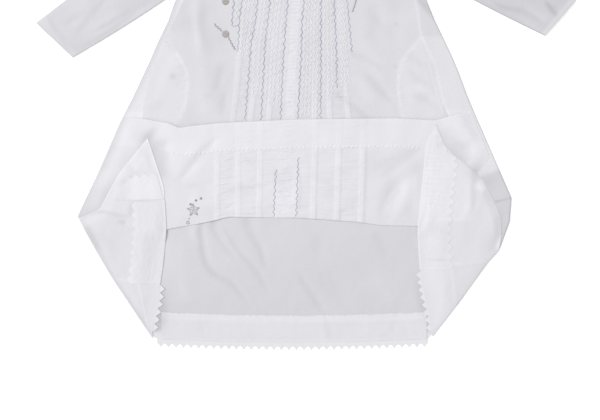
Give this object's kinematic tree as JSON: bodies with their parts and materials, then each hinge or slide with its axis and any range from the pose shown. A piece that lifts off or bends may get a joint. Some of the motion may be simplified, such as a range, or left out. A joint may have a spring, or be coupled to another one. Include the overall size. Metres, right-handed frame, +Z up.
{
  "type": "child's embroidered dress",
  "caption": "Child's flared cotton dress with wavy stitching, laid flat face up, its front hem folded up and its sides pressed out into flaps.",
  "frame": {"origin": "centre of the bounding box, on the surface that the dress lies on", "axes": "+X towards the wearer's left sleeve as seen from above with the neck away, +Y from hem to neck, +Z up out of the surface"},
  "size_m": [0.7585, 0.68, 0.009],
  "materials": {
    "cotton": "thin plain-woven cotton, matt, softly creased",
    "trim": "doubled cotton with a picot edge, matt"
  },
  "bodies": {
    "root": {"front": "cotton", "back": "cotton", "side_panel_left": "cotton", "side_panel_right": "cotton", "sleeve_left": "cotton", "sleeve_right": "cotton", "pocket_bag_left": "cotton", "pocket_bag_right": "cotton", "turned_hem_middle": "trim", "turned_hem_left": "trim", "turned_hem_right": "trim", "turned_hem_pleat": "trim", "back_hem_facing": "trim", "picot_back": "trim", "picot_back_left": "trim", "picot_back_right": "trim", "neck_binding": "trim"}
  },
  "joints": []
}
